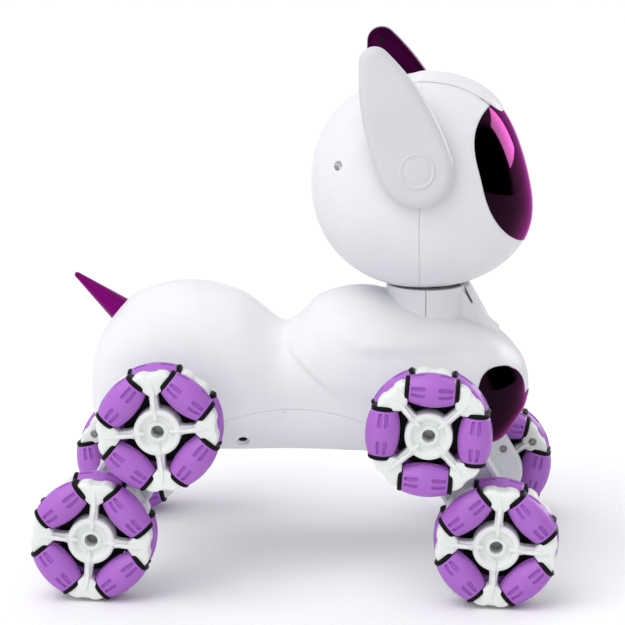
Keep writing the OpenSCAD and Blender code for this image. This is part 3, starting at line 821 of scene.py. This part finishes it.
def crown_strip():
    """Low raised strip over the top of the head, with soft edges and a round end above the visor."""
    half_w, end_x, corner_r, proud = 16.0, 97.5, 11.0, 1.5
    start_x = 51.0
    edge_w, edge_height = 2.2, 0.35
    across = half_w * np.sin(np.linspace(-math.pi / 2, math.pi / 2, 71))
    reach = np.sin(np.linspace(0, math.pi / 2, 90))[:, None]
    y = np.broadcast_to(across, (90, 71))
    past_corner = np.clip(np.abs(y) - (half_w - corner_r), 0, corner_r)
    far_x = end_x - corner_r + np.sqrt(corner_r ** 2 - past_corner ** 2)
    x = start_x + (far_x - start_x) * reach
    to_edge = np.minimum(half_w - np.abs(y), 1.4 * (far_x - x))
    grow = edge_height + (proud - edge_height) * smooth_step(to_edge, -edge_w / 2, edge_w)
    grow = 0.1 + (grow - 0.1) * smooth_step(x, start_x, start_x + 9)

    def contains(z):
        size = head_size(z, grow)
        length = (HEAD_HALF_L + grow) * size - np.where(x > HEAD_X, face_slant(z, size), 0)
        width = (HEAD_HALF_W + grow) * size
        return ((x - HEAD_X) / np.maximum(length, 1e-6)) ** 2 + (y / np.maximum(width, 1e-6)) ** 2 < 1

    z = solve(contains, np.full(x.shape, HEAD_Z), np.full(x.shape, HEAD_Z + HEAD_HALF_H + proud))
    sheet_piece("strip_crown", np.stack([x, y, z], axis=-1), (HEAD_X, 0, HEAD_Z), "head",
                "shell_white", ["crown_strip"], wall=2.0, edge=0.25)


# ---------------------------------------------------------------- ears

EAR_PIVOT = (HEAD_X - 1, 0, 204.5)
EAR_INNER_Y = 53.2
EAR_REACH = 55.0
EAR_ROOT_R = 17.5
EAR_TIP_R = 7.5
EAR_SIDE_R = 120.0
EAR_TILT = 22.0
EAR_LEAN = 8.0


def leaf_ring(shrink, z):
    outline = leaf_outline(EAR_ROOT_R - shrink, EAR_TIP_R - shrink, EAR_REACH, EAR_SIDE_R - shrink)
    return at_height(outline, z)


def ear(side_name):
    side = SIDES[side_name]
    body = f"ear_{side_name}"
    pivot = [shift(*EAR_PIVOT), outward(side)]
    blade = pivot + [shift(0, 0, EAR_INNER_Y), turn("X", -EAR_LEAN), turn("Z", EAR_TILT)]
    panel_top = 1.8
    thick = 6.6
    inner = [leaf_ring(0.8, panel_top), leaf_ring(0.15, panel_top), leaf_ring(0, panel_top + 0.2)]
    dome = [
        leaf_ring(5 * (1 - math.cos(a)), 2.2 + (thick - 2.3) * math.sin(a))
        for a in np.radians(np.arange(0, 91, 9))
    ]
    crown = [leaf_ring(5.8, thick - 0.04), leaf_ring(6.8, thick)]
    shell = rings_form(inner + dome + crown)
    # Blade and boss take the shell white darkened as painted shade.
    solid_piece(f"blade_{side_name}", moved(shell, *blade), body, "shell_white",
                [f"ear_shell_{side_name}"], sharp=40, material="shaded_ear_white")
    boss = lathe([
        (9.0, 6.1), (8.7, 6.75), (8.3, 7.05), (7.8, 7.1), (7.2, 6.85), (6.9, 6.65),
        (6.5, 6.65), (6.0, 6.9), (5.4, 7.0), (0.01, 7.05)], 64)
    solid_piece(f"boss_{side_name}", moved(boss, *blade), body, "shell_white", material="shaded_ear_white")
    # Inner panel in the magenta darkened as painted shade.
    panel = rings_form([
        leaf_ring(0.6, panel_top - 0.05), leaf_ring(0.3, panel_top - 0.2), leaf_ring(0.25, 0.5),
        leaf_ring(0.4, 0.15), leaf_ring(0.7, 0), leaf_ring(1.4, 0), leaf_ring(1.6, 0.3),
        leaf_ring(1.75, 1.3), leaf_ring(2.6, 1.3), leaf_ring(2.75, 0.5), leaf_ring(3.2, 0.35),
        leaf_ring(6.8, 0.3)])
    solid_piece(f"panel_{side_name}", moved(panel, *blade), body, "magenta",
                [f"ear_panel_{side_name}"], material="shaded_ear_magenta")
    # Black disc near the ear's tip: painted shade standing in for the dark inside a hole that is not
    # cut.
    hole_shade_disc = lathe([(1.5, 1), (1.5, 0.25), (1.3, 0.15), (0.01, 0.15)], 32)
    solid_piece(f"ear_hole_shade_{side_name}", moved(hole_shade_disc, *blade, shift(0, EAR_REACH, 0)), body,
                "black_plastic")
    pin = lathe([(7, 40), (7, 42), (5, 42), (5, 56)])
    solid_piece(f"pin_{side_name}", moved(pin, *pivot), body, "shell_white")
    collar = turned_ring([(5.05, 43.5), (5.05, 50.7), (5.4, 51), (8.1, 51), (8.5, 50.6), (8.5, 43.5)])
    solid_piece(f"ear_collar_{side_name}", moved(collar, *pivot), "head", "shell_white")


# ---------------------------------------------------------------- omni wheels

# In a wheel's own frame the axle is Z, and +Z is the side away from the dog
WHEEL_R = 30.0
ROLLER_PIN_R = 21.8
ROW_Z = 7.0
SLEEVE_HALF_L = 10.85
CORNER_R = 29.0
HUB_OUTER_Z = 11.0


def corner_outline():
    """Heart-shaped fan between two rollers, pointing along +X, with a shallow notch in its rim."""
    apex, widest_r, half_w = 18.0, 26.9, 8.9
    side = [
        (apex + (widest_r - apex) * t, 1.9 + (half_w - 1.9) * math.sin(t * math.pi / 2))
        for t in np.linspace(0, 1, 14)
    ]
    rim_angle = math.degrees(math.asin(half_w / CORNER_R))
    rim = [
        (r * math.cos(math.radians(a)), r * math.sin(math.radians(a)))
        for r, a in (
            (CORNER_R - 0.75, rim_angle - 0.5), (CORNER_R - 0.2, rim_angle - 2.4),
            (CORNER_R, rim_angle - 5), (CORNER_R, rim_angle - 8), (CORNER_R - 0.1, 7.5),
            (CORNER_R - 0.4, 5.6), (CORNER_R - 0.85, 4.4), (CORNER_R - 0.95, 2.5))
    ]
    upper = side + rim
    return np.array(upper + [(x, -y) for x, y in upper[::-1]])


def corner_form():
    outline = corner_outline()
    middle = np.array([25.0, 0.0])
    face = [(1, 3.3), (0.985, 4.0), (0.95, 4.45), (0.88, 4.75), (0.7, 4.98), (0.4, 5.15), (0.05, 5.2)]
    rings = [at_height(middle + (outline - middle) * s, -z) for s, z in face[::-1]]
    rings += [at_height(middle + (outline - middle) * s, z) for s, z in face]
    return rings_form(rings)


def spindle(x0, x1, half_w, z0, z1):
    """Thin rib, pointed at both ends and widest in the middle, with a rounded top."""
    t = np.linspace(0, 1, 13)
    width = half_w * np.sin(math.pi * t) ** 0.6 + 0.12
    upper = np.c_[x0 + (x1 - x0) * t, width]
    outline = np.vstack([upper[::-1], upper * (1, -1)])
    middle = np.array([(x0 + x1) / 2, 0])
    return rings_form([
        at_height(outline, z0),
        at_height(outline, z1 - 0.35),
        at_height(middle + (outline - middle) * (0.985, 0.75), z1 - 0.1),
        at_height(middle + (outline - middle) * (0.96, 0.3), z1),
    ])


def spoke_form():
    """Spoke that widens into the hub and into the corner."""
    reach = np.linspace(9, 22, 16)
    at_hub = np.clip((13.5 - reach) / 4.5, 0, 1) ** 1.6
    at_corner = np.clip((reach - 18) / 4, 0, 1)
    half_w = 1.95 + 1.5 * at_hub + 1.0 * at_corner
    outline = np.vstack([np.c_[reach, -half_w], np.c_[reach, half_w][::-1]])
    inset = outline * (1, 0.8)
    layers = [(inset, -3.2), (outline, -2.6), (outline, 2.6), (inset, 3.2)]
    return rings_form([at_height(layer, z) for layer, z in layers])


def wheel_row():
    """One row of four spokes and corners, with ribs on the face towards +Z."""
    quarter = joined(
        corner_form(),
        spoke_form(),
        spindle(5.6, 14.5, 0.95, 1, 4.4),
        spindle(10.6, 24.8, 0.9, 2, 5.7),
    )
    return joined(*[moved(quarter, turn("Z", 90 * k)) for k in range(4)])


def hub_form():
    """Hub tube with a recessed cup in its outer face and a lipped ring round the axle."""
    return turned_ring([
        (3.15, -13), (10.9, -13), (11.4, -12.5), (11.4, 9.6), (11.1, 10.6), (10.4, 11), (9.0, 11),
        (8.6, 10.8), (8.2, 10.2), (7.4, 9.0), (7.0, 8.7), (5.3, 8.7), (5.1, 9.0), (4.9, 9.5),
        (4.5, 9.6), (4.3, 9.4), (4.1, 9.4), (3.9, 9.7), (3.5, 9.7), (3.15, 9.4),
    ], 72)


def shade_disc_form():
    """Black disc between a wheel's two rows, round its hub: painted shade, standing in for the shadow
    between the rows.
    """
    return turned_ring([
        (10.6, -1.1), (16.2, -1.1), (16.6, -0.7), (16.6, 0.7), (16.2, 1.1), (10.6, 1.1)], 64)


def wheel_frame_form():
    inner = moved(wheel_row(), turn("Z", 45), shift(0, 0, -ROW_Z), mirror(z=-1))
    return joined(hub_form(), moved(wheel_row(), shift(0, 0, ROW_Z)), inner)


def sleeve_form():
    """Barrel-shaped soft sleeve about Z, with four pairs of pockets near each of its ends."""
    half_pair = np.array([0, 2.5, 4.5, 5.6, 7.2, 9.8, 12.5, 15.2, 17.8, 19.4, 20.5, 22])
    pair = np.concatenate([-half_pair[:0:-1], half_pair])
    beside = np.linspace(27, 63, 7)
    degrees = np.concatenate([90 * k + np.concatenate([pair, beside]) for k in range(4)])
    to_middle = np.abs((degrees + 45) % 90 - 45)
    half = np.array([0, 0.3, 1.2, 2.5, 3.1, 3.5, 3.9, 4.4, 5.2, 6.5, 8, 9.1, 9.4, 9.7, 10.0, 10.5])
    heights = np.concatenate([-half[:0:-1], half])
    rings = []
    for t in heights:
        radius = math.sqrt(WHEEL_R ** 2 - t ** 2) - ROLLER_PIN_R
        parting = 0.05 * (abs(t) < 0.2)
        rings.append(at_height(polar(radius - pocket_depth(to_middle, abs(t)) - parting, degrees), t))
    end_r = math.sqrt(WHEEL_R ** 2 - SLEEVE_HALF_L ** 2) - ROLLER_PIN_R
    for r, t in ((end_r - 0.2, SLEEVE_HALF_L), (5.2, SLEEVE_HALF_L + 0.05)):
        ring = polar(np.full(len(degrees), r), degrees)
        rings.append(at_height(ring, t))
        rings.insert(0, at_height(ring, -t))
    return rings_form(rings)


def pocket_depth(to_middle, reach):
    """Depth of a sleeve's pockets, at degrees from a pair's middle and reach mm along the sleeve."""
    deepest, middle, half_w = 1.35, 12.5, 8.0
    across = np.clip(np.abs(to_middle - middle) / half_w, 0, 1)
    floor = 1 - smooth_step(across, 0.6, 1)
    inner_end = 4.2 - 1.2 * np.sqrt(1 - across ** 2)
    inside = smooth_step(reach, inner_end, inner_end + 0.7) * smooth_step(-reach, -9.9, -9.3)
    return deepest * floor * inside


def polar(radius, degrees):
    angle = np.radians(degrees)
    return np.c_[radius * np.cos(angle), radius * np.sin(angle)]


def core_and_gap_shade_form():
    """Black end discs and pins that stand out of a sleeve's two ends. The discs also stand in for the
    shade in the gap between sleeve and corner: part real core, part painted shade.
    """
    disc = [(1.5, 10.0), (5.9, 10.0), (6.1, 10.95), (6.2, 12.0), (6.0, 12.6), (5.5, 12.95), (1.5, 12.95)]
    end = lathe([(0.01, 10.0)] + disc + [(1.5, 15.3), (0.01, 15.3)], 40)
    return joined(end, moved(end, mirror(z=-1)))


def all_rollers(form):
    """The form at each of the wheel's eight roller places."""
    places = []
    for row, first in ((1, 45), (-1, 0)):
        for k in range(4):
            places.append(moved(form, turn("Z", first + 90 * k),
                                shift(ROLLER_PIN_R, 0, row * ROW_Z), turn("X", 90)))
    return joined(*places)


def make_screw_mesh():
    """Pan-head screw about Z with a cross recess, its head's base at z = 0."""
    head = lathe([(2.1, -1), (2.1, 0.35), (1.95, 0.7), (1.5, 1.0), (0.8, 1.15), (0.01, 1.18)], 32)
    blank = bpy.data.objects.new("screw_blank", mesh_of("screw_head", head, "steel"))
    bpy.context.scene.collection.objects.link(blank)
    slot = prism([(-1.25, -0.26), (1.25, -0.26), (1.25, 0.26), (-1.25, 0.26)], 0.45, 2)
    for degrees in (0, 90):
        cut(blank, moved(slot, turn("Z", degrees)))
    mesh = blank.data
    bpy.data.objects.remove(blank)
    return mesh


def metres(matrix):
    """A millimetre matrix as one for meshes in metres."""
    result = matrix.copy()
    result.translation = matrix.translation * MM
    return result


def wheel_matrix(leg, place_name):
    """Matrix, in millimetres, from a wheel's own frame to its place."""
    end, side, hip_turn, foot_turn = LEGS[leg]
    low, high = box_mm(f"wheel_frame_{leg}_{place_name}")
    centre = (low + high) / 2
    outermost = max(abs(low[1]), abs(high[1]))
    centre[1] = side * (outermost - HUB_OUTER_Z)
    angle = math.radians(hip_turn if place_name == "hip" else foot_turn)
    along = Vector((end * math.cos(angle), 0, math.sin(angle)))
    axle = Vector((0, side, 0))
    third = axle.cross(along)
    rotation = Matrix((along, third, axle)).transposed().to_4x4()
    return Matrix.Translation(Vector(centre)) @ rotation


def wheels(screw_mesh):
    frame_mesh = mesh_of("wheel_frame", wheel_frame_form(), "wheel_white", sharp=32)
    sleeve_mesh = mesh_of("wheel_sleeves", all_rollers(sleeve_form()), "roller_lilac", sharp=50)
    # Black roller cores together with the painted-shade disc between the rows.
    cores_and_shade_disc_mesh = mesh_of("wheel_cores_and_shade_disc", joined(all_rollers(core_and_gap_shade_form()), shade_disc_form()), "black_plastic")
    for leg in LEGS:
        for place_name in ("hip", "foot"):
            body = f"wheel_{leg}_{place_name}"
            at = wheel_matrix(leg, place_name)
            tag = f"{leg}_{place_name}"
            place(f"hub_{tag}", frame_mesh, body, [f"wheel_frame_{tag}"], metres(at))
            place(f"sleeves_{tag}", sleeve_mesh, body, [f"rollers_{tag}"], metres(at))
            # These pieces hold the real black cores and the painted-shade disc.
            place(f"cores_{tag}", cores_and_shade_disc_mesh, body, matrix=metres(at))
            for k in range(4):
                seat = at @ turn("Z", 45 + 90 * k) @ shift(23.5, 0, -ROW_Z - 5.0) @ turn("X", 180)
                place(f"screw_{tag}_{k}", screw_mesh, body, matrix=metres(seat))


# ---------------------------------------------------------------- legs

def leg_matrix(leg):
    """Matrix, in millimetres, from a leg's frame: x along the arm and z outwards."""
    side = LEGS[leg][1]
    hip = wheel_matrix(leg, "hip").translation
    foot = wheel_matrix(leg, "foot").translation
    along = (foot - hip).normalized()
    axle = Vector((0, side, 0))
    rotation = Matrix((along, axle.cross(along), axle)).transposed().to_4x4()
    start = Vector((hip.x, 0, hip.z))
    return Matrix.Translation(start) @ rotation, (foot - hip).length


def arms(screw_mesh):
    for leg in LEGS:
        at, length = leg_matrix(leg)
        body = f"leg_{leg}"
        shell = slot_form([
            (13.9, 53.15), (14.3, 53.3), (14.6, 53.7), (14.6, 55.2), (14.3, 55.45), (14.3, 55.75),
            (14.6, 56.0), (14.6, 56.9), (14.1, 57.7), (13.3, 58), (12.2, 58), (11.9, 57.6), (11.4, 57.4)
        ], length)
        solid_piece(f"arm_outer_{leg}", moved(shell, at), body, "arm_grey", [f"arm_shell_{leg}"],
                    sharp=30)
        cover = slot_form([
            (12.4, 48), (13.2, 48.1), (14.3, 49.2),
            (14.6, 49.6), (14.6, 50.6), (14.3, 50.85), (14.3, 51.15), (14.6, 51.4), (14.6, 52.4),
            (14.3, 52.75), (13.9, 52.9)
        ], length)
        solid_piece(f"arm_inner_{leg}", moved(cover, at), body, "arm_grey", [f"arm_cover_{leg}"],
                    sharp=30)
        sleeve = turned_ring([(3.2, 40), (8.6, 40), (9.0, 40.4), (9.0, 48.6), (3.2, 48.6)])
        solid_piece(f"arm_sleeve_{leg}", moved(sleeve, at), body, "arm_grey")
        boss = turned_ring([(3.3, 49), (3.3, 47.9), (3.5, 47.7), (5.6, 47.7), (5.9, 47.9), (5.9, 49)])
        solid_piece(f"arm_boss_{leg}", moved(boss, at, shift(length, 0, 0)), body, "arm_grey")
        seats = [(reach, offset) for reach in (12, length - 8.5) for offset in (-10.3, 10.3)]
        for k, (reach, offset) in enumerate(seats):
            seat = at @ shift(reach, offset, 48.5) @ turn("X", 180)
            place(f"arm_screw_{leg}_{k}", screw_mesh, body, matrix=metres(seat))


# ---------------------------------------------------------------- floor, light, camera

def build_floor():
    size = 6.0
    mesh = bpy.data.meshes.new("floor")
    corners = [(-size, -size, 0), (size, -size, 0), (size, size, 0), (-size, size, 0)]
    mesh.from_pydata(corners, [], [(0, 1, 2, 3)])
    floor = bpy.data.objects.new("floor", mesh)
    bpy.context.scene.collection.objects.link(floor)
    material, tree, shader = new_material("floor_pale", (0.95, 0.95, 0.95), 0.6, {})
    rough = remap(tree, object_noise(tree, 30), (0.3, 0.7), (0.55, 0.65))
    tree.links.new(rough, shader.inputs["Roughness"])
    mesh.materials.append(material)


def add_light(name, location, target, size, power):
    data = bpy.data.lights.new(name, "AREA")
    data.shape = "RECTANGLE"
    data.size, data.size_y = size
    data.energy = power
    lamp = bpy.data.objects.new(name, data)
    bpy.context.scene.collection.objects.link(lamp)
    lamp.location = location
    lamp.rotation_euler = (Vector(target) - Vector(location)).to_track_quat("-Z", "Y").to_euler()
    return lamp


def build_world():
    """White studio with a dark opening far ahead of the dog, for the glossy face to reflect."""
    world = bpy.data.worlds.new("studio")
    bpy.context.scene.world = world
    world.use_nodes = True
    tree = world.node_tree
    direction = tree.nodes.new("ShaderNodeTexCoord")
    ahead = tree.nodes.new("ShaderNodeVectorMath")
    ahead.operation = "DOT_PRODUCT"
    ahead.inputs[1].default_value = (0.97, -0.03, 0.24)
    tree.links.new(direction.outputs["Generated"], ahead.inputs[0])
    edge = [math.cos(math.radians(angle)) for angle in (31, 23)]
    opening = remap(tree, ahead.outputs["Value"], edge, (0, 1))
    sky = mix_colour(tree, opening, (0.965, 0.975, 1.0), (0.03, 0.02, 0.03))
    tree.links.new(sky, tree.nodes["Background"].inputs["Color"])
    tree.nodes["Background"].inputs["Strength"].default_value = 0.88


def build_lights():
    sun = bpy.data.lights.new("overhead", "SUN")
    sun.energy = 1.0
    sun.angle = math.radians(50)
    lamp = bpy.data.objects.new("overhead", sun)
    bpy.context.scene.collection.objects.link(lamp)
    lamp.rotation_euler = Vector((-0.4, -0.3, 1)).to_track_quat("Z", "Y").to_euler()
    add_light("key", (-0.7, -1.2, 1.5), (0, 0, 0.12), (1.2, 1.2), 3)
    face = add_light("face", (0.98, 0.67, 0.56), (0.06, 0, 0.19), (0.5, 0.48), 10)
    face.visible_diffuse = False


def build_camera():
    yaw = math.radians(3.48)
    rise = math.radians(12.07)
    distance = 1.318
    target = Vector((0.00416, 0, 0.1243))
    back = Vector((math.sin(yaw) * math.cos(rise), -math.cos(yaw) * math.cos(rise), math.sin(rise)))
    data = bpy.data.cameras.new("camera")
    data.lens = 152.06
    data.sensor_width = 36
    data.clip_start = 0.05
    data.clip_end = 50
    camera = bpy.data.objects.new("camera", data)
    bpy.context.scene.collection.objects.link(camera)
    camera.location = target + back * distance
    camera.rotation_euler = (-back).to_track_quat("-Z", "Y").to_euler()
    bpy.context.scene.camera = camera
    bpy.context.scene.view_settings.view_transform = "Standard"


# ---------------------------------------------------------------- the toy

def dress_cad_nodes():
    """The CAD nodes that stay in view take the material of their slot."""
    for part in frame["record"]["subparts"]:
        node = frame["nodes"][part["node"]]
        node.data.materials.clear()
        node.data.materials.append(MATERIALS[part["material_slot"]])


dress_cad_nodes()
for side_name in SIDES:
    body_shell(side_name)
    ear(side_name)
belly_pan()
for leg in LEGS:
    hip_ring(leg)
chest_plate()
tail()
neck()
head_half("shell_head_front", -90, "head_front")
head_rear()
visor()
crown_strip()
screw = make_screw_mesh()
wheels(screw)
arms(screw)
build_floor()
build_world()
build_lights()
build_camera()
